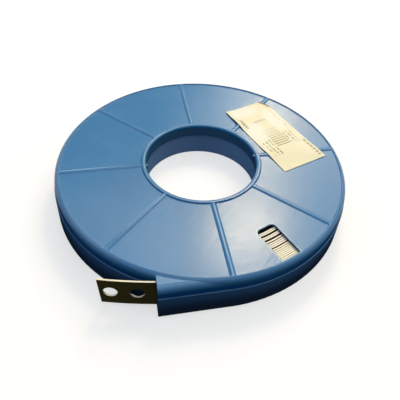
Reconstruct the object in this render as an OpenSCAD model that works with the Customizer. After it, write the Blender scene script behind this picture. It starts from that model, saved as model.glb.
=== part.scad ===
// Coil of punched steel strip in a two-part plastic dispenser case.
// The case lies flat on z = 0 with its axis along Z, and the strip leaves it towards -X.

/* [Case] */
// Outer radius of the lower shell
case_r = 80; // [78:1:96]
// Radius of the lower shell's bore
bore_r = 31.6; // [25:0.2:34]
// Thickness of the outer walls and of the bore collars
wall_t = 2; // [1.8:0.1:2.6]
// Thickness of the floor below the coil
floor_t = 1.8; // [1.4:0.1:4]
// Thickness of the lid's panels
panel_t = 1.2; // [1:0.1:3]
// Height of the upper shell from its rims down to the parting line
skirt_h = 7.2; // [6:0.2:12]
// Set-back of the upper shell's outer wall from the lower shell's
ledge = 0.6; // [0.2:0.1:0.7]
// Reach of the upper shell's bore inside the lower shell's
bore_lip = 1; // [0.6:0.1:1.4]
// Radius of the upper edge of the bore
lip_r = 1.4; // [0.6:0.1:1.6]
// Radius of the rolled outer edge of the upper shell
roll_r = 3; // [1.5:0.5:4]
// Radius of the outer edge of the underside
foot_r = 0.8; // [0.4:0.1:1.6]
// Depth of the floor's sunk middle
foot_h = 0.4; // [0.2:0.1:0.7]

/* [Rims and ribs] */
// Depth of the lid's panels below its rims
relief = 0.8; // [0.5:0.1:1.6]
// Width of the rim round the bore
bore_rim_w = 2.8; // [2.4:0.1:4]
// Width of the rim round the outside
outer_rim_w = 2.6; // [2.2:0.1:4]
// Run of the slope between a rim and a panel
flank = 0.5; // [0.2:0.1:0.8]
// Number of radial ribs
rib_n = 8; // [4:1:12]
// Width of a rib at its foot
rib_w = 2.9; // [2:0.1:5]
// Depth of a rib's crest below the rims
rib_drop = 0.15; // [0.1:0.05:0.3]

/* [Lap joint] */
// Height of the tongue below the parting line
lap_h = 1.6; // [1:0.2:4]
// Thickness of the tongue
lap_t = 0.7; // [0.5:0.1:0.9]
// Clearance between the tongue and its rebate
lap_gap = 0.1; // [0.05:0.05:0.3]

/* [Outlet] */
// Width by which the outlet's end stands clear of the round wall
mouth_w = 7.4; // [7:0.1:9]
// Depth of the outlet's roof below the rims
outlet_drop = 1; // [0.6:0.1:1.2]

/* [Bore lugs] */
// Width of a lug
lug_w = 1.3; // [1:0.1:2.5]
// Reach of a lug from the upper shell's bore
lug_d = 0.9; // [0.7:0.1:2]
// Height of a lug
lug_h = 2.2; // [1:0.1:4]

/* [Strip] */
// Width of the strip
strip_w = 17; // [12:0.5:30]
// Thickness of the strip
strip_t = 0.8; // [0.5:0.05:1]
// Mean radial pitch of the turns
wind_pitch = 1.12; // [1.02:0.01:1.6]
// Depth to which the gaps between turns stay open
groove_d = 4; // [1:0.5:5]
// Radial depth of the winding
coil_build = 28.5; // [20:0.1:40]
// Radial room left round the coil
coil_gap = 1.2; // [0.8:0.1:1.4]
// Clearance between the coil and the lid
lid_gap = 0.3; // [0.2:0.1:1.5]
// Bend radius of the free end
tail_r = 224; // [215:1:500]
// Length of the free end from where it leaves the coil
tail_l = 59.8; // [52:0.2:76]
// Diameter of the punched holes
hole_d = 6.6; // [4:0.1:9]
// Distance from one hole to the next
hole_pitch = 12; // [10:0.5:18]
// Distance from the first hole to the end of the strip
hole_end = 5.6; // [5:0.1:9]
// Skew of the cut end across the strip's width
end_skew = 1; // [0:0.1:2]

/* [Window] */
// Length of the window
window_l = 19.8; // [12:0.2:22]
// Width of the window
window_w = 10.5; // [7:0.5:14]
// Radius of the window's inner corners
window_r = 2.4; // [1:0.2:3]
// Distance from the window's outer end to the outer rim
window_gap = 0.7; // [0.7:0.1:4]
// Bevel round the window
window_bevel = 0.3; // [0.2:0.1:0.5]

/* [Label] */
// Length of the label
label_l = 61; // [40:1:62]
// Width of the label
label_w = 29; // [16:1:31]
// Thickness of the label
label_t = 0.25; // [0.2:0.05:0.5]
// Distance from the bore's rim to the label's near side
label_gap = 2.8; // [1.5:0.1:4]
// Direction of the label's middle
label_a = 21; // [18:1:27]
// Turn of the label on the lid
label_turn = -1.5; // [-4:0.5:4]

/* [Hidden] */
$fn = 96;
over = 1;            // how far a cutter runs past the face that it cuts
sink = 0.05;         // keeps a line that runs into a circle a little inside its tangent
rib_step = 360 / rib_n;
window_a = -90 + rib_step / 2;

// Turns that lie loose, counted from the outside, and how much wider the gap inside each of them is
loose_turns = [
    [3, 0.1], [7, 0.08], [8, 0.12], [9, 0.55], [10, 0.05],
    [11, 0.08], [12, 0.35], [13, 0.9], [15, 0.9], [17, 1.75]
];

// Heights, from the underside up
z_coil = floor_t + strip_w;
z_roof = z_coil + lid_gap;
z_panel = z_roof + panel_t;
z_top = z_panel + relief;
z_split = z_top - skirt_h;
z_outlet = z_top - outlet_drop;

// Radii, from the axis out
lid_bore_r = bore_r - bore_lip;
collar_r = bore_r + wall_t;
cavity_r = case_r - wall_t;
coil_out = cavity_r - coil_gap;
coil_in = coil_out - coil_build;
lid_r = case_r - ledge;
panel_in = lid_bore_r + bore_rim_w;
panel_out = lid_r - outer_rim_w;
window_out = panel_out - window_gap;
window_in = window_out - window_l;
label_r = panel_in + label_gap + label_w / 2;

// Outlet, whose end lies where the round wall has fallen back by the mouth's width
mouth_in = case_r - mouth_w;
mouth_side = mouth_in - 0.3;
outlet_l = sqrt(case_r * case_r - mouth_in * mouth_in);

// Holes from the strip's end to where it comes close to the coil
peel_l = sqrt(2 * (strip_t + 0.25) / (1 / coil_out - 1 / tail_r));
hole_n = 1 + floor((tail_l - peel_l - hole_d / 2 - hole_end) / hole_pitch);

// Section of a slab from inner to outer, with its outer corners and the upper inner one rounded
module slab(inner, outer, low, high, low_r, high_r, inner_r) {
    difference() {
        translate([inner, low]) square([outer - inner, high - low]);
        if (inner_r > 0) translate([inner + inner_r, high - inner_r]) mirror([1, 0]) corner_waste(inner_r);
        if (low_r > 0) translate([outer - low_r, low + low_r]) mirror([0, 1]) corner_waste(low_r);
        if (high_r > 0) translate([outer - high_r, high - high_r]) corner_waste(high_r);
    }
}

// What a rounded corner leaves of the square round it
module corner_waste(r) {
    difference() {
        square(r + over);
        circle(r);
    }
}

// Outer shape of a shell: a turned disc, and the block of the outlet that leaves it at a tangent
module shell_block(inner, reach, low, high, outlet_high, low_r, high_r, inner_r) {
    rotate_extrude() slab(inner, reach, low, high, low_r, high_r, inner_r);
    rotate([90, 0, -90]) linear_extrude(outlet_l)
        slab(mouth_in - wall_t, reach - sink, low, outlet_high, low_r, high_r, 0);
}

// Plan of the room for the coil, with the mouth through which the strip leaves
module cavity_plan() {
    difference() {
        union() {
            circle(cavity_r);
            translate([-outlet_l - over, sink - cavity_r])
                square([outlet_l + over, cavity_r - sink - mouth_side]);
        }
        circle(collar_r);
    }
}

// Plan of the walls' inner part, which lies inset from their outside, at the rim and at the bore
module lap_plan(inset, run_out) {
    difference() {
        union() {
            circle(case_r - inset);
            translate([-outlet_l - run_out, inset + sink - case_r])
                square([outlet_l + run_out, case_r - inset - sink - mouth_side]);
        }
        circle(coil_out);
    }
    difference() {
        circle(collar_r + over);
        circle(bore_r + inset);
    }
}

// Ring that sinks a face between its two rims
module sunk_ring(depth) {
    run = flank * (1 + over / depth);
    rotate_extrude() polygon([
        [panel_in, 0], [panel_out, 0], [panel_out + run, depth + over], [panel_in - run, depth + over]
    ]);
}

// Rounded rib on the lid, from the bore's rim to the outer rim
module lid_rib() {
    rise = relief - rib_drop;
    arc = (rib_w * rib_w / 4 + rise * rise) / (2 * rise);
    from = lid_bore_r + bore_rim_w / 2;
    rotate([90, 0, 90]) translate([0, z_panel, from])
        linear_extrude(panel_out + flank - from) intersection() {
            translate([0, rise - arc]) circle(arc);
            translate([-rib_w, -panel_t / 2]) square([2 * rib_w, panel_t / 2 + relief]);
        }
}

// Lug on the upper shell's bore, which comes out of the rounded edge at the end of a rib
module bore_lug() {
    tip_r = lug_w / 2;
    translate([lid_bore_r - lug_d + tip_r, 0, z_top - lip_r / 2 - lug_h]) {
        cylinder(r = tip_r, h = lug_h, $fn = 24);
        translate([0, -tip_r, 0]) cube([lug_d - tip_r + wall_t / 2, lug_w, lug_h]);
    }
}

// Plan of the window, pointing along X, grown by a margin
module window_plan(grow) {
    r = window_r + grow;
    side = window_w / 2 + grow;
    near = window_in - grow;
    far = window_out + grow;
    translate([near, r - side]) square([far - near, 2 * side - 2 * r]);
    translate([near + r, -side]) square([far - near - r, 2 * side]);
    for (y = [r - side, side - r]) translate([near + r, y]) circle(r, $fn = 32);
}

// Window through the lid, with a bevel round its upper edge
module window_cut() {
    rotate(window_a) {
        translate([0, 0, z_roof - over]) linear_extrude(panel_t + relief + 2 * over) window_plan(0);
        hull() {
            translate([0, 0, z_panel - window_bevel]) linear_extrude(0.01) window_plan(0);
            translate([0, 0, z_panel + window_bevel]) linear_extrude(0.01) window_plan(2 * window_bevel);
        }
    }
}

// Tray: floor, outer wall, bore collar and the lower half of the outlet
module lower_shell() color([0.13, 0.33, 0.58]) {
    difference() {
        shell_block(bore_r, case_r, 0, z_split, z_split, foot_r, 0, 0);
        translate([0, 0, floor_t]) linear_extrude(z_split - floor_t + over) cavity_plan();
        translate([0, 0, z_split - lap_h - lap_gap])
            linear_extrude(lap_h + lap_gap + over) lap_plan(wall_t - lap_t - lap_gap, over);
        translate([0, 0, foot_h]) mirror([0, 0, 1]) sunk_ring(foot_h);
    }
}

// Lid: ribbed plate, skirt, bore collar, window and the upper half of the outlet
module upper_shell() color([0.16, 0.40, 0.66]) {
    difference() {
        union() {
            difference() {
                shell_block(lid_bore_r, lid_r, z_split, z_top, z_outlet, 0, roll_r, lip_r);
                translate([0, 0, z_panel]) sunk_ring(relief);
            }
            translate([0, 0, z_split - lap_h]) linear_extrude(lap_h + over) lap_plan(wall_t - lap_t, 0);
            for (i = [0:rib_n - 1]) rotate(i * rib_step) lid_rib();
            for (a = [0, 180]) rotate(a) bore_lug();
        }
        translate([0, 0, z_split - lap_h - over])
            linear_extrude(z_roof - z_split + lap_h + over) cavity_plan();
        window_cut();
    }
}

// Turned section of the coil, whose turns part at both ends
module coil_section() {
    turns = floor((coil_out - coil_in) / wind_pitch);
    room = coil_out - coil_in - turns * strip_t;
    function extra(i) = [for (t = loose_turns) if (t[0] == turns - 1 - i) t[1]];
    function looseness(i) = 0.15 + (len(extra(i)) > 0 ? extra(i)[0] : 0);
    function loose_sum(i) = i < 0 ? 0 : looseness(i) + loose_sum(i - 1);
    function turn_in(i) = coil_in + i * strip_t + room * loose_sum(i - 1) / loose_sum(turns - 2);
    // The outermost turn is a little thicker, so that the free end starts inside it
    function turn_near(i) = turn_in(i) - (i == turns - 1 ? 2 * sink : 0);
    comb = [for (i = [0:turns - 1]) each [
        if (i > 0) [turn_near(i), z_coil - groove_d],
        [turn_near(i), z_coil],
        [turn_in(i) + strip_t, z_coil],
        if (i < turns - 1) [turn_in(i) + strip_t, z_coil - groove_d]
    ]];
    mirrored = [for (i = [len(comb) - 1:-1:0]) [comb[i][0], floor_t + z_coil - comb[i][1]]];
    polygon(concat(comb, mirrored));
}

// Free end of the strip, which springs back towards the case, with its punched holes and cut end
module strip_tail() {
    degrees = 180 / PI / tail_r;
    end_a = -90 - tail_l * degrees;
    translate([0, tail_r - coil_out + strip_t / 2 + sink, floor_t]) difference() {
        rotate(end_a) rotate_extrude(angle = tail_l * degrees)
            translate([tail_r - strip_t / 2, 0]) square([strip_t, strip_w]);
        for (i = [0:hole_n - 1]) rotate(end_a + (hole_end + i * hole_pitch) * degrees)
            translate([tail_r, 0, strip_w / 2]) rotate([0, 90, 0])
                cylinder(d = hole_d, h = strip_t + 0.4, center = true);
        rotate(end_a) translate([tail_r, 0, strip_w]) rotate([atan(end_skew / strip_w), 0, 0])
            translate([-strip_w / 2, -strip_w, -2 * strip_w]) cube([strip_w, strip_w, 3 * strip_w]);
    }
}

module steel_strip() color([0.62, 0.60, 0.55]) {
    rotate_extrude() coil_section();
    strip_tail();
}

// Paper label across two ribs
module label() color([0.96, 0.93, 0.80]) {
    rotate(label_a) translate([label_r, 0, z_top - rib_drop]) rotate(label_turn)
        translate([-label_w / 2, -label_l / 2, 0]) cube([label_w, label_l, label_t]);
}

lower_shell();
upper_shell();
steel_strip();
label();
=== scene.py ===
import math

import bmesh
import bpy
from mathutils import Matrix, Vector


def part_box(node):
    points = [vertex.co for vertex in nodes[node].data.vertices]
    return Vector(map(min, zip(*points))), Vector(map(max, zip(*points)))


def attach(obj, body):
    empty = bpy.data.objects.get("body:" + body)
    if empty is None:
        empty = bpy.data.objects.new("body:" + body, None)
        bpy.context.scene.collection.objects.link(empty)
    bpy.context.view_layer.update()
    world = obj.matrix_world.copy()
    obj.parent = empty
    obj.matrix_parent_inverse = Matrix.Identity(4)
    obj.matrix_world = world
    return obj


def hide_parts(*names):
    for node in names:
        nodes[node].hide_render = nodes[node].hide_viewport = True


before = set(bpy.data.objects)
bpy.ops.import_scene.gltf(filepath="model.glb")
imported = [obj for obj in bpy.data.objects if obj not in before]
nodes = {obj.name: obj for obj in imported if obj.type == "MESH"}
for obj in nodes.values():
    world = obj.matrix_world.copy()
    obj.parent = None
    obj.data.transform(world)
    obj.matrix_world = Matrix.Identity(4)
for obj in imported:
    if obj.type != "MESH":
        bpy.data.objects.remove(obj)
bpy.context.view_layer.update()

# Heights and radii shared with the part, in metres

MM = 0.001
LID_R = 79.4 * MM
TOP_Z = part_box("upper_shell")[1].z
PANEL_Z = TOP_Z - 0.8 * MM
RIB_TOP_Z = TOP_Z - 0.15 * MM
SPLIT_Z = TOP_Z - 7.2 * MM

# Runs along a radius or a height, from where a finish or a painted light or shade begins to where it is
# full

ROLL_RUN = (75.5 * MM, 77.5 * MM)
ROLL_RISE = (SPLIT_Z + 2 * MM, SPLIT_Z + 4.5 * MM)
BORE_RUN = (36 * MM, 34 * MM)
LIP_FALL = (PANEL_Z - 0.4 * MM, PANEL_Z - 1.2 * MM)
LUG_RUN = (31.0 * MM, 30.5 * MM)
LID_LOW_SHADE_FALL = (SPLIT_Z + 4.2 * MM, SPLIT_Z + 1.5 * MM)
TRAY_LOW_SHADE_FALL = (SPLIT_Z - 0.5 * MM, 4 * MM)
COIL_RUN = (78 * MM, 76 * MM)
OUTER_TURNS_RUN = (62 * MM, 74 * MM)

# Window, measured outwards along its middle line and sideways from it

WINDOW_ANGLE = math.radians(-67.5)
WINDOW_RUN = (55.0 * MM, 77.2 * MM)
WINDOW_SIDE = (-6.2 * MM, 6.2 * MM)
WINDOW_SOFT = 0.3 * MM
WINDOW_FALL = (PANEL_Z - 0.3 * MM, PANEL_Z - 0.6 * MM)
CORNER_RUN = 58.7 * MM
CORNER_SIDE = 2.85 * MM
RIM_REACH = (3.5 * MM, 3.0 * MM)
RIM_END = (77.5 * MM, 76.8 * MM)
RIM_RISE = (PANEL_Z - 0.34 * MM, PANEL_Z - 0.26 * MM)

# Label: its place, its size, how it lies and its folded corner

LABEL_R = 50.7 * MM
LABEL_ANGLE = math.radians(21.0)
LABEL_TURN = math.radians(19.5)
LABEL_MIDDLE = Vector((LABEL_R * math.cos(LABEL_ANGLE), LABEL_R * math.sin(LABEL_ANGLE), 0))
LABEL_W = 29 * MM
LABEL_L = 61 * MM
LABEL_T = 0.12 * MM
LABEL_COLUMNS = 30
LABEL_ROWS = 61
LABEL_LIE_Z = PANEL_Z + 0.25 * MM
LABEL_RIBS = (0.0, math.radians(45.0))
RIB_HALF_W = 0.9 * MM
RIB_LIFT = RIB_TOP_Z + 0.1 * MM - LABEL_LIE_Z
RIB_DRAPE = 9 * MM
EDGE_SIDE = -0.48 * LABEL_W
EDGE_END = 0.3 * LABEL_L
EDGE_LIFT = 0.5 * MM
EDGE_DRAPE = 7 * MM
FOLD_ACROSS = math.cos(math.radians(30.0))
FOLD_ALONG = math.sin(math.radians(30.0))
FOLD_REACH_MM = 24.8
FOLD_TONE_RUN_MM = (FOLD_REACH_MM - 1.5, FOLD_REACH_MM - 1.1)
FOLD_BACK = 1.3 * MM
FOLD_RISE = 0.45 * MM
SMOOTH_ANGLE = math.radians(40)

# Colours of the shells, among them painted light and shade

RUBBED_BLUE = (0.08, 0.21, 0.40)
ROLL_PAINTED_LIGHT_BLUE = (0.065, 0.210, 0.430)
LUG_TOP_PAINTED_HIGHLIGHT = (0.20, 0.30, 0.43)
WINDOW_EDGE_PAINTED_HIGHLIGHT = (0.34, 0.46, 0.58)
WINDOW_WALL_PAINTED_SHADE = (0.006, 0.008, 0.012)

# Shares of a finish, or of a painted light or shade, where it is full

RUB_SHARE = 0.35
ROLL_PAINTED_LIGHT_SHARE = 0.55
BORE_LIGHT_AND_SHADE_SHARE = 0.8
WINDOW_EDGE_HIGHLIGHT_SHARE = 0.6
WINDOW_WALL_SHADE_SHARE = 0.9
OIL_STREAK_SHARE = 0.5
STAIN_SHARE = 0.5
SHEEN_PATCH_SHARE = 0.8

# Colours of the steel strip, with the painted shade between its turns

OILED_DEEP = (0.026, 0.021, 0.002)
OILED_LIGHT = (0.040, 0.032, 0.005)
OILED_STREAK = (0.052, 0.042, 0.009)
COIL_GAP_PAINTED_SHADE = (0.008, 0.006, 0.003)
INNER_SLIT_DEEP = (0.86, 0.76, 0.65)
INNER_SLIT_LIGHT = (0.96, 0.89, 0.80)
OUTER_SLIT_DEEP = (0.94, 0.86, 0.66)
OUTER_SLIT_LIGHT = (0.97, 0.92, 0.76)

# Colours of the label, with its painted sheen and the brown band of its fold

PAPER_DEEP = (0.685, 0.635, 0.425)
PAPER_LIGHT = (0.74, 0.70, 0.505)
PAPER_STAIN = (0.77, 0.755, 0.655)
PAPER_PAINTED_SHEEN = (0.77, 0.77, 0.70)
INK_BROWN = (0.17, 0.14, 0.045)
FOLD_DEEP = (0.20, 0.13, 0.07)
FOLD_LIGHT = (0.34, 0.25, 0.16)

# Painted sheen on the label: pale patches, each with its middle and its reach in millimetres

PAINTED_SHEEN_PATCHES = (
    ((-8.0, 5.0), (9.0, 12.0)),
    ((-5.0, 25.0), (11.0, 7.0)),
    ((9.0, 11.0), (7.0, 15.0)),
)

# Print of the label, in millimetres

PRINT_SOFT = 0.4
DASH_W = 1.1
DASH_L = 1.3
ROW_PITCH = 1.9
COLUMN_PITCH = 2.4
FADE_RUN = (6.0, -11.0)

# Relief of the shells and grain of the strip

ROUND_EDGE = 0.45 * MM
ROUND_SAMPLES = 8
STREAK_ANGLE = math.radians(48.0)
STREAK_SCALE = (70.0, 600.0, 70.0)
SCUFF_RINGS = 420.0
SCUFF_TURNS = 5.0
ROLLING_SCALE = (40.0, 40.0, 2500.0)
RING_SCALE = (30.0, 30.0, 1.0)

# Light and camera

SUN_COLOUR = (1.0, 0.80, 0.50)
WARM_COLOUR = (1.0, 0.91, 0.73)
PLAIN_COLOUR = (1.0, 1.0, 0.93)
SKY_COLOUR = (0.68, 0.82, 1.0)
FLOOR_W = 6.0
FLOOR_BOUNCE = 0.10
FLOOR_TONE = 0.45
FLOOR_GLOW = (0.6, 1.0)
FLOOR_GLOW_RUN = (0.3, 1.0)
WORLD_FILL = 0.06
CAMERA_AZIMUTH = math.radians(-12.88)
CAMERA_ELEVATION = math.radians(41.434)
CAMERA_ROLL = math.radians(3.57)
CAMERA_DISTANCE = 3.339 * LID_R
PHOTO_PIXELS = 400
FOCAL_PIXELS = 477.252
SHIFT_X_PIXELS = -1.415
SHIFT_Y_PIXELS = -40.698
SENSOR_W = 36.0
CLIP_NEAR = 0.01
CLIP_FAR = 20.0


# Helpers for node trees

def cleared_tree(holder, output_kind):
    holder.use_nodes = True
    tree = holder.node_tree
    tree.nodes.clear()
    return tree, tree.nodes.new(output_kind)


def new_material(name):
    material = bpy.data.materials.new(name)
    tree, output = cleared_tree(material, "ShaderNodeOutputMaterial")
    shader = tree.nodes.new("ShaderNodeBsdfPrincipled")
    tree.links.new(shader.outputs["BSDF"], output.inputs["Surface"])
    return material, tree, shader


def feed(tree, value, socket):
    if isinstance(value, (int, float)):
        socket.default_value = value
    elif isinstance(value, tuple):
        socket.default_value = (*value, 1.0)
    else:
        tree.links.new(value, socket)


def object_coords(tree):
    return tree.nodes.new("ShaderNodeTexCoord").outputs["Object"]


def mapped(tree, vector, turn=0.0, scale=(1, 1, 1), move=(0, 0, 0)):
    mapping = tree.nodes.new("ShaderNodeMapping")
    mapping.inputs["Location"].default_value = move
    mapping.inputs["Rotation"].default_value = (0, 0, turn)
    mapping.inputs["Scale"].default_value = scale
    tree.links.new(vector, mapping.inputs["Vector"])
    return mapping.outputs["Vector"]


def split(tree, vector):
    parts = tree.nodes.new("ShaderNodeSeparateXYZ")
    tree.links.new(vector, parts.inputs["Vector"])
    return parts.outputs["X"], parts.outputs["Y"], parts.outputs["Z"]


def noise(tree, vector, scale, detail=2.0, roughness=0.5, distortion=0.0):
    texture = tree.nodes.new("ShaderNodeTexNoise")
    texture.inputs["Scale"].default_value = scale
    texture.inputs["Detail"].default_value = detail
    texture.inputs["Roughness"].default_value = roughness
    texture.inputs["Distortion"].default_value = distortion
    tree.links.new(vector, texture.inputs["Vector"])
    return texture.outputs["Fac"]


def maths(tree, operation, first, second=0.0):
    step = tree.nodes.new("ShaderNodeMath")
    step.operation = operation
    feed(tree, first, step.inputs[0])
    feed(tree, second, step.inputs[1])
    return step.outputs["Value"]


def times(tree, first, second):
    return maths(tree, "MULTIPLY", first, second)


def sum_of_products(tree, first, second, third, fourth):
    return maths(tree, "ADD", times(tree, first, second), times(tree, third, fourth))


def length(tree, first, second):
    return maths(tree, "SQRT", sum_of_products(tree, first, first, second, second))


def spread(tree, value, low, high, out_low=0.0, out_high=1.0):
    fit = tree.nodes.new("ShaderNodeMapRange")
    fit.interpolation_type = "SMOOTHSTEP"
    fit.inputs["From Min"].default_value = low
    fit.inputs["From Max"].default_value = high
    fit.inputs["To Min"].default_value = out_low
    fit.inputs["To Max"].default_value = out_high
    feed(tree, value, fit.inputs["Value"])
    return fit.outputs["Result"]


def between(tree, value, low, high, soft):
    rise = spread(tree, value, low - soft, low + soft)
    fall = spread(tree, value, high - soft, high + soft, 1.0, 0.0)
    return times(tree, rise, fall)


def blend(tree, share, first, second):
    mix = tree.nodes.new("ShaderNodeMix")
    mix.data_type = "RGBA"
    feed(tree, share, mix.inputs["Factor"])
    feed(tree, first, mix.inputs["A"])
    feed(tree, second, mix.inputs["B"])
    return mix.outputs["Result"]


def bump(tree, height, strength, distance, normal=None):
    relief = tree.nodes.new("ShaderNodeBump")
    relief.inputs["Strength"].default_value = strength
    relief.inputs["Distance"].default_value = distance
    tree.links.new(height, relief.inputs["Height"])
    if normal is not None:
        tree.links.new(normal, relief.inputs["Normal"])
    return relief.outputs["Normal"]


# Blue plastic of the two shells: uneven pigment, rubbed places and fine streaks, with painted light and
# shade: a paler rolled edge, paler lug tops, paler level faces on the tray, a painted highlight along the
# window's rim, painted shade on the window's walls and inside the lid's bore under the lip, painted light
# lower in the tray's bore, and painted shade darker towards the bottom of the walls

def rounded_normal(tree):
    edge = tree.nodes.new("ShaderNodeBevel")
    edge.samples = ROUND_SAMPLES
    edge.inputs["Radius"].default_value = ROUND_EDGE
    return edge.outputs["Normal"]


# Painted light and shade around the window: a paler band on the panel along its rim and near black on its
# inner walls
def window_painted_light_and_shade(tree, place, z, upward, pigment):
    run, aside = split(tree, mapped(tree, place, -WINDOW_ANGLE))[:2]
    beside = maths(tree, "SUBTRACT", maths(tree, "ABSOLUTE", aside), CORNER_SIDE)
    inward = maths(tree, "SUBTRACT", CORNER_RUN, run)
    apart = length(tree, maths(tree, "MAXIMUM", beside, 0.0), maths(tree, "MAXIMUM", inward, 0.0))
    # painted highlight: a pale band on the panel along the window's rounded rim, standing in for the light
    # that rim catches
    rim = times(tree, spread(tree, apart, *RIM_REACH, 0.0, WINDOW_EDGE_HIGHLIGHT_SHARE), spread(tree, run, *RIM_END))
    painted_edge_highlight = times(tree, rim, spread(tree, z, *RIM_RISE))
    pigment = blend(tree, painted_edge_highlight, pigment, WINDOW_EDGE_PAINTED_HIGHLIGHT)
    outward_part = between(tree, run, *WINDOW_RUN, WINDOW_SOFT)
    sideways_part = between(tree, aside, *WINDOW_SIDE, WINDOW_SOFT)
    opening = times(tree, outward_part, sideways_part)
    # painted shade: the window's inner walls are painted near black, standing in for the shade in the
    # opening
    below = times(tree, opening, spread(tree, z, *WINDOW_FALL))
    wall = times(tree, below, spread(tree, upward, 0.1, 0.5, WINDOW_WALL_SHADE_SHARE, 0.0))
    return blend(tree, wall, pigment, WINDOW_WALL_PAINTED_SHADE)


def ring_scuffs(tree, x, y, radius):
    turning = tree.nodes.new("ShaderNodeCombineXYZ")
    tree.links.new(times(tree, radius, SCUFF_RINGS), turning.inputs["X"])
    tree.links.new(times(tree, maths(tree, "ARCTAN2", y, x), SCUFF_TURNS), turning.inputs["Y"])
    return noise(tree, turning.outputs["Vector"], scale=1.0, detail=4.0, roughness=0.6)


def shell_relief(tree, place, normal):
    brushed = mapped(tree, mapped(tree, place, -STREAK_ANGLE), scale=STREAK_SCALE)
    waves = noise(tree, place, scale=45.0, detail=1.0)
    streaks = noise(tree, brushed, scale=1.0, detail=3.0, roughness=0.6)
    ripple = noise(tree, place, scale=190.0)
    grain = noise(tree, place, scale=1500.0)
    normal = bump(tree, waves, 0.10, 0.6 * MM, normal)
    normal = bump(tree, streaks, 0.16, 0.3 * MM, normal)
    normal = bump(tree, ripple, 0.05, 0.3 * MM, normal)
    return bump(tree, grain, 0.06, 0.2 * MM, normal)


def make_shell_plastic(name, light, deep, level, painted_bore_light_and_shade, painted_low_shade, low_shade_fall, low_shade_share, shine):
    material, tree, shader = new_material(name)
    place = object_coords(tree)
    x, y, z = split(tree, place)
    radius = length(tree, x, y)
    rounded = rounded_normal(tree)
    upward = split(tree, rounded)[2]
    top = spread(tree, upward, 0.35, 0.85)

    cloud = noise(tree, place, scale=16.0, detail=3.0, roughness=0.55, distortion=0.6)
    flow = spread(tree, cloud, 0.3, 0.7)
    pigment = blend(tree, flow, deep, light)
    # painted highlight: upward faces blend to the level colour, paler on the tray and standing in for
    # light on its ledge; on the lid it equals the lid's own blue
    pigment = blend(tree, top, pigment, blend(tree, flow, pigment, level))
    haze = noise(tree, place, scale=55.0, detail=6.0, roughness=0.65)
    rubbed = times(tree, spread(tree, haze, 0.50, 0.80, 0.0, RUB_SHARE), top)
    pigment = blend(tree, rubbed, pigment, RUBBED_BLUE)
    # painted light: the lid's rolled edge is painted a paler blue, standing in for the light it catches
    # from the front
    rolled = times(tree, spread(tree, radius, *ROLL_RUN), spread(tree, z, *ROLL_RISE))
    pigment = blend(tree, times(tree, rolled, ROLL_PAINTED_LIGHT_SHARE), pigment, ROLL_PAINTED_LIGHT_BLUE)
    # painted light and shade inside the bore below the lip: the lid's bore wall is painted darker as if
    # shaded by the lip, the tray's paler as if lit from below
    under_lip = spread(tree, z, *LIP_FALL, 0.0, BORE_LIGHT_AND_SHADE_SHARE)
    in_bore = times(tree, spread(tree, radius, *BORE_RUN), under_lip)
    pigment = blend(tree, in_bore, pigment, painted_bore_light_and_shade)
    # painted highlight: the tops of the bore lugs are painted paler, standing in for the light they catch
    lugs = spread(tree, radius, *LUG_RUN)
    pigment = blend(tree, times(tree, lugs, top), pigment, LUG_TOP_PAINTED_HIGHLIGHT)
    # painted shade: outside the bore, each shell's wall is painted darker towards its bottom, standing in
    # for shade low on the walls
    outside = spread(tree, in_bore, 0.0, BORE_LIGHT_AND_SHADE_SHARE, low_shade_share, 0.0)
    low_down = times(tree, spread(tree, z, *low_shade_fall), outside)
    pigment = blend(tree, low_down, pigment, painted_low_shade)
    pigment = window_painted_light_and_shade(tree, place, z, upward, pigment)
    tree.links.new(pigment, shader.inputs["Base Color"])

    wear = maths(tree, "ADD", haze, ring_scuffs(tree, x, y, radius))
    tree.links.new(spread(tree, wear, 0.6, 1.5, 0.20, 0.26), shader.inputs["Roughness"])
    gloss = spread(tree, maths(tree, "SUBTRACT", upward, lugs), 0.15, 0.9, 0.0, shine)
    tree.links.new(gloss, shader.inputs["Specular IOR Level"])
    tree.links.new(shell_relief(tree, place, rounded), shader.inputs["Normal"])
    return material


# Steel strip: dark oiled faces that look in or out along the radius, painted near black inside the coil as
# shade between the turns, and bright slit edges

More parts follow.
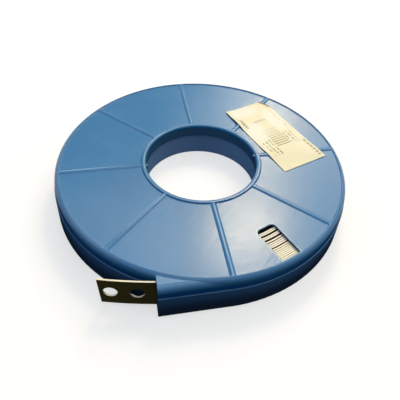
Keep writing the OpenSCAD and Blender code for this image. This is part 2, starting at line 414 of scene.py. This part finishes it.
def make_strip_steel():
    material, tree, shader = new_material("strip_steel")
    place = object_coords(tree)
    x, y = split(tree, place)[:2]
    radius = length(tree, x, y)
    facing = tree.nodes.new("ShaderNodeNewGeometry").outputs["Normal"]
    facing_x, facing_y = split(tree, facing)[:2]
    outward = maths(tree, "DIVIDE", sum_of_products(tree, facing_x, x, facing_y, y), radius)
    rolled = spread(tree, maths(tree, "ABSOLUTE", outward), 0.15, 0.6)

    streak = noise(tree, mapped(tree, place, scale=ROLLING_SCALE), scale=1.0, detail=3.0)
    cloud = noise(tree, place, scale=90.0, detail=4.0)
    oiled = blend(tree, cloud, OILED_DEEP, OILED_LIGHT)
    dark = blend(tree, spread(tree, streak, 0.45, 0.7, 0.0, OIL_STREAK_SHARE), oiled, OILED_STREAK)
    # painted shade: inside the coil the faces between the turns are painted near black, standing in for
    # the shade in the gaps
    dark = blend(tree, spread(tree, radius, *COIL_RUN), dark, COIL_GAP_PAINTED_SHADE)
    speckle = noise(tree, mapped(tree, place, scale=RING_SCALE), scale=60.0)
    ring = spread(tree, speckle, 0.3, 0.7)
    inner = blend(tree, ring, INNER_SLIT_DEEP, INNER_SLIT_LIGHT)
    outer = blend(tree, ring, OUTER_SLIT_DEEP, OUTER_SLIT_LIGHT)
    slit = blend(tree, spread(tree, radius, *OUTER_TURNS_RUN), inner, outer)
    tree.links.new(blend(tree, rolled, slit, dark), shader.inputs["Base Color"])

    tree.links.new(spread(tree, rolled, 0.0, 1.0, 0.0, 0.2), shader.inputs["Metallic"])
    tree.links.new(spread(tree, streak, 0.3, 0.7, 0.30, 0.46), shader.inputs["Roughness"])
    shader.inputs["Specular IOR Level"].default_value = 0.0
    tree.links.new(bump(tree, streak, 0.10, 0.1 * MM), shader.inputs["Normal"])
    return material


# Cream label paper with faint blocks of dashes and bars, pale patches of painted sheen and a brown band
# along its fold, all placed in millimetres from its middle

def oval(tree, across, along, middle, reach):
    aside = maths(tree, "DIVIDE", maths(tree, "SUBTRACT", across, middle[0]), reach[0])
    beyond = maths(tree, "DIVIDE", maths(tree, "SUBTRACT", along, middle[1]), reach[1])
    return spread(tree, sum_of_products(tree, aside, aside, beyond, beyond), 0.1, 1.0, 1.0, 0.0)


def bars(tree, value, pitch):
    wave = maths(tree, "SINE", times(tree, value, 2 * math.pi / pitch))
    return spread(tree, wave, -0.3, 0.7)


def dashes(tree, paper):
    specks = noise(tree, mapped(tree, paper, scale=(1 / DASH_W, 1 / DASH_L, 1.0)), scale=1.0, detail=1.0)
    return spread(tree, specks, 0.40, 0.54)


def print_block(tree, across, along, sides, ends, marks, strength):
    field = times(tree, between(tree, across, *sides, PRINT_SOFT), between(tree, along, *ends, PRINT_SOFT))
    return times(tree, times(tree, field, marks), strength)


def make_label_paper():
    material, tree, shader = new_material("label_paper")
    place = object_coords(tree)
    centred = mapped(tree, place, move=tuple(-LABEL_MIDDLE))
    paper = mapped(tree, centred, -LABEL_TURN, (1 / MM, 1 / MM, 1 / MM))
    across, along = split(tree, paper)[:2]
    fibre = noise(tree, place, scale=900.0, detail=4.0)
    stain = noise(tree, place, scale=55.0, detail=3.0)
    tone = blend(tree, fibre, PAPER_DEEP, PAPER_LIGHT)
    tone = blend(tree, spread(tree, stain, 0.45, 0.7, 0.0, STAIN_SHARE), tone, PAPER_STAIN)
    # painted sheen: pale patches stand in for the sheen of light on the paper
    for middle, reach in PAINTED_SHEEN_PATCHES:
        patch = times(tree, oval(tree, across, along, middle, reach), SHEEN_PATCH_SHARE)
        tone = blend(tree, patch, tone, PAPER_PAINTED_SHEEN)

    words = dashes(tree, paper)
    rows = bars(tree, along, ROW_PITCH)
    broken_columns = times(tree, bars(tree, across, COLUMN_PITCH), words)
    fade = spread(tree, along, *FADE_RUN, 0.2, 0.9)
    ink = print_block(tree, across, along, (-12.4, -10.4), (10.0, 19.0), words, 0.85)
    for block in (
        print_block(tree, across, along, (-4.8, 3.8), (13.0, 14.6), fibre, 0.7),
        print_block(tree, across, along, (-5.0, 4.6), (-12.0, 5.0), rows, fade),
        print_block(tree, across, along, (-12.0, -4.6), (-18.5, -4.0), broken_columns, 0.9),
        print_block(tree, across, along, (5.0, 10.2), (-13.5, -1.5), broken_columns, 0.75),
        print_block(tree, across, along, (11.6, 13.4), (-28.0, -11.0), words, 0.85),
        print_block(tree, across, along, (11.4, 12.6), (2.0, 24.0), words, 0.3),
    ):
        ink = maths(tree, "MAXIMUM", ink, block)
    tone = blend(tree, ink, tone, INK_BROWN)

    # a brown band along the crease of the folded corner: partly the paper's brown back edge, partly
    # painted shade of the fold
    crease = sum_of_products(tree, across, FOLD_ACROSS, along, FOLD_ALONG)
    folded = spread(tree, crease, *FOLD_TONE_RUN_MM)
    tone = blend(tree, folded, tone, blend(tree, fibre, FOLD_DEEP, FOLD_LIGHT))
    tree.links.new(tone, shader.inputs["Base Color"])
    shader.inputs["Roughness"].default_value = 0.5
    fine_relief = bump(tree, fibre, 0.12, 0.1 * MM)
    tree.links.new(bump(tree, stain, 0.2, 0.5 * MM, fine_relief), shader.inputs["Normal"])
    return material


# Label: thin paper that lies over two ribs of the lid, with a lifted edge and a folded corner

def select_where(piece, test):
    mesh = bmesh.from_edit_mesh(piece.data)
    for vertex in mesh.verts:
        vertex.select = test(vertex.co)
    mesh.select_flush_mode()
    bmesh.update_edit_mesh(piece.data)


def lift_selected(height, drape):
    bpy.ops.transform.translate(
        value=(0, 0, height),
        use_proportional_edit=True,
        proportional_edit_falloff="SMOOTH",
        proportional_size=drape,
    )


def near_free_edge(place):
    offset = Matrix.Rotation(-LABEL_TURN, 3, "Z") @ (place - LABEL_MIDDLE)
    return offset.x < EDGE_SIDE and offset.y > EDGE_END


def make_label():
    bpy.ops.object.select_all(action="DESELECT")
    bpy.ops.mesh.primitive_grid_add(
        x_subdivisions=LABEL_COLUMNS,
        y_subdivisions=LABEL_ROWS,
        size=1.0,
        location=(0, 0, 0),
    )
    label = bpy.context.object
    label.name = "paper_label"
    bpy.ops.object.mode_set(mode="EDIT")
    bpy.ops.mesh.select_mode(type="VERT")
    bpy.ops.mesh.select_all(action="SELECT")
    bpy.ops.transform.resize(value=(LABEL_W, LABEL_L, 1.0))
    bpy.ops.transform.rotate(value=-LABEL_TURN, orient_axis="Z", center_override=(0, 0, 0))
    bpy.ops.transform.translate(value=LABEL_MIDDLE + Vector((0, 0, LABEL_LIE_Z)))
    for angle in LABEL_RIBS:
        side = Vector((-math.sin(angle), math.cos(angle), 0))
        select_where(label, lambda place: abs(place.dot(side)) < RIB_HALF_W)
        lift_selected(RIB_LIFT, RIB_DRAPE)
    select_where(label, near_free_edge)
    lift_selected(EDGE_LIFT, EDGE_DRAPE)

    fold_side = Vector((
        math.cos(LABEL_TURN) * FOLD_ACROSS - math.sin(LABEL_TURN) * FOLD_ALONG,
        math.sin(LABEL_TURN) * FOLD_ACROSS + math.cos(LABEL_TURN) * FOLD_ALONG,
        0,
    ))
    fold_line = LABEL_MIDDLE + fold_side * FOLD_REACH_MM * MM
    bpy.ops.mesh.select_all(action="SELECT")
    bpy.ops.mesh.bisect(plane_co=fold_line, plane_no=fold_side, clear_outer=True)
    bpy.ops.mesh.select_mode(type="EDGE")
    bpy.ops.mesh.extrude_edges_move(
        MESH_OT_extrude_edges_indiv={},
        TRANSFORM_OT_translate={"value": -FOLD_BACK * fold_side + Vector((0, 0, FOLD_RISE))},
    )
    bpy.ops.object.mode_set(mode="OBJECT")
    wall = label.modifiers.new("thickness", "SOLIDIFY")
    wall.thickness = LABEL_T
    wall.offset = 1.0
    bpy.ops.object.modifier_apply(modifier=wall.name)
    bpy.ops.object.shade_smooth_by_angle(angle=SMOOTH_ANGLE)
    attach(label, "root")
    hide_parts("label")
    return label


# Pieces and their finishes

lid_plastic = make_shell_plastic(
    "lid_plastic",
    light=(0.012, 0.160, 0.385),
    deep=(0.007, 0.140, 0.345),
    level=(0.012, 0.160, 0.385),
    painted_bore_light_and_shade=(0.055, 0.130, 0.245),
    painted_low_shade=(0.010, 0.075, 0.300),
    low_shade_fall=LID_LOW_SHADE_FALL,
    low_shade_share=0.7,
    shine=0.42,
)
tray_plastic = make_shell_plastic(
    "tray_plastic",
    light=(0.048, 0.145, 0.330),
    deep=(0.038, 0.118, 0.275),
    level=(0.085, 0.180, 0.310),
    painted_bore_light_and_shade=(0.240, 0.420, 0.720),
    painted_low_shade=(0.020, 0.030, 0.058),
    low_shade_fall=TRAY_LOW_SHADE_FALL,
    low_shade_share=0.85,
    shine=0.15,
)
finishes = {
    "lower_shell": tray_plastic,
    "upper_shell": lid_plastic,
    "steel_strip": make_strip_steel(),
}
for node, finish in finishes.items():
    mesh = nodes[node].data
    mesh.materials.clear()
    mesh.materials.append(finish)

paper_label = make_label()
paper_label.data.materials.append(make_label_paper())


# Floor, light and camera

def seen_directly(tree):
    ray = tree.nodes.new("ShaderNodeLightPath")
    eye = maths(tree, "MAXIMUM", ray.outputs["Is Camera Ray"], ray.outputs["Is Glossy Ray"])
    return maths(tree, "MAXIMUM", eye, ray.outputs["Is Transmission Ray"])


def choose(tree, share, first, second):
    choice = tree.nodes.new("ShaderNodeMixShader")
    tree.links.new(share, choice.inputs["Fac"])
    tree.links.new(first, choice.inputs[1])
    tree.links.new(second, choice.inputs[2])
    return choice.outputs["Shader"]


def grey_card(tree, tone):
    card = tree.nodes.new("ShaderNodeBsdfDiffuse")
    card.inputs["Color"].default_value = (tone, tone, tone, 1)
    return card.outputs["BSDF"]


def white_light(tree, strength):
    light = tree.nodes.new("ShaderNodeBackground")
    light.inputs["Color"].default_value = (1, 1, 1, 1)
    light.inputs["Strength"].default_value = strength
    return light.outputs["Background"]


def make_floor():
    bpy.ops.object.select_all(action="DESELECT")
    bpy.ops.mesh.primitive_plane_add(size=FLOOR_W, location=(0, 0, 0))
    floor = bpy.context.object
    floor.name = "floor"
    material = bpy.data.materials.new("floor_card")
    tree, output = cleared_tree(material, "ShaderNodeOutputMaterial")
    x, y = split(tree, object_coords(tree))[:2]
    glow = tree.nodes.new("ShaderNodeEmission")
    strength = spread(tree, length(tree, x, y), *FLOOR_GLOW_RUN, *FLOOR_GLOW)
    tree.links.new(strength, glow.inputs["Strength"])
    white = tree.nodes.new("ShaderNodeAddShader")
    tree.links.new(grey_card(tree, FLOOR_TONE), white.inputs[0])
    tree.links.new(glow.outputs["Emission"], white.inputs[1])
    surface = choose(tree, seen_directly(tree), grey_card(tree, FLOOR_BOUNCE), white.outputs["Shader"])
    tree.links.new(surface, output.inputs["Surface"])
    floor.data.materials.append(material)


def make_world():
    world = bpy.data.worlds.new("studio")
    bpy.context.scene.world = world
    tree, output = cleared_tree(world, "ShaderNodeOutputWorld")
    surface = choose(tree, seen_directly(tree), white_light(tree, WORLD_FILL), white_light(tree, 1.0))
    tree.links.new(surface, output.inputs["Surface"])


def make_lamp(name, azimuth, elevation, distance, size, watts, colour):
    lamp = bpy.data.lights.new(name, "AREA")
    lamp.shape = "RECTANGLE"
    lamp.size, lamp.size_y = size
    lamp.energy = watts
    lamp.color = colour
    holder = bpy.data.objects.new(name, lamp)
    bpy.context.scene.collection.objects.link(holder)
    turn = math.radians(azimuth)
    lift = math.radians(elevation)
    away = Vector((math.sin(turn) * math.cos(lift), math.cos(turn) * math.cos(lift), math.sin(lift)))
    holder.location = away * distance
    holder.rotation_mode = "QUATERNION"
    holder.rotation_quaternion = away.to_track_quat("Z", "Y")


def make_camera():
    back = Vector((
        math.sin(CAMERA_AZIMUTH) * math.cos(CAMERA_ELEVATION),
        -math.cos(CAMERA_AZIMUTH) * math.cos(CAMERA_ELEVATION),
        math.sin(CAMERA_ELEVATION),
    ))
    level = Vector((math.cos(CAMERA_AZIMUTH), math.sin(CAMERA_AZIMUTH), 0))
    rise = back.cross(level)
    right = level * math.cos(CAMERA_ROLL) + rise * math.sin(CAMERA_ROLL)
    up = rise * math.cos(CAMERA_ROLL) - level * math.sin(CAMERA_ROLL)
    camera = bpy.data.cameras.new("camera")
    camera.sensor_width = SENSOR_W
    camera.lens = FOCAL_PIXELS / PHOTO_PIXELS * SENSOR_W
    camera.shift_x = SHIFT_X_PIXELS / PHOTO_PIXELS
    camera.shift_y = SHIFT_Y_PIXELS / PHOTO_PIXELS
    camera.clip_start = CLIP_NEAR
    camera.clip_end = CLIP_FAR
    holder = bpy.data.objects.new("camera", camera)
    bpy.context.scene.collection.objects.link(holder)
    turn = Matrix((right, up, back)).transposed().to_4x4()
    holder.matrix_world = Matrix.Translation(Vector((0, 0, TOP_Z)) + back * CAMERA_DISTANCE) @ turn
    bpy.context.scene.camera = holder


make_floor()
make_world()

# Lamps: azimuth and elevation in degrees, distance and size in metres, then watts and colour

make_lamp("soft_box", 36.0, 48.0, 1.2, (0.9, 0.58), 4.5, WARM_COLOUR)
make_lamp("key_lamp", 24.5, 52.0, 1.1, (0.16, 0.16), 2.6, SUN_COLOUR)
make_lamp("side_box", 27.5, 44.0, 1.2, (0.22, 0.30), 0.2, WARM_COLOUR)
make_lamp("band_box", 25.0, 37.0, 1.2, (0.06, 0.24), 1.1, SUN_COLOUR)
make_lamp("low_box", -10.0, 51.0, 1.2, (0.4, 0.22), 0.8, PLAIN_COLOUR)
make_lamp("high_box", 10.0, 61.0, 1.2, (0.4, 0.24), 1.0, PLAIN_COLOUR)
make_lamp("back_box", 29.0, 31.5, 1.3, (0.5, 0.26), 1.45, WARM_COLOUR)
make_lamp("horizon_box", -12.0, 12.0, 1.3, (0.4, 0.35), 1.9, PLAIN_COLOUR)
make_lamp("top_box", 175.0, 82.0, 1.2, (0.45, 0.5), 1.9, PLAIN_COLOUR)
make_lamp("right_sky", 98.0, 48.0, 1.4, (1.0, 0.9), 4.3, PLAIN_COLOUR)
make_lamp("left_sky", -85.0, 42.0, 1.4, (0.8, 0.8), 2.8, SKY_COLOUR)
make_lamp("front_sky", 190.0, 50.0, 1.4, (0.9, 0.7), 2.3, SKY_COLOUR)

make_camera()
bpy.context.scene.view_settings.view_transform = "Standard"
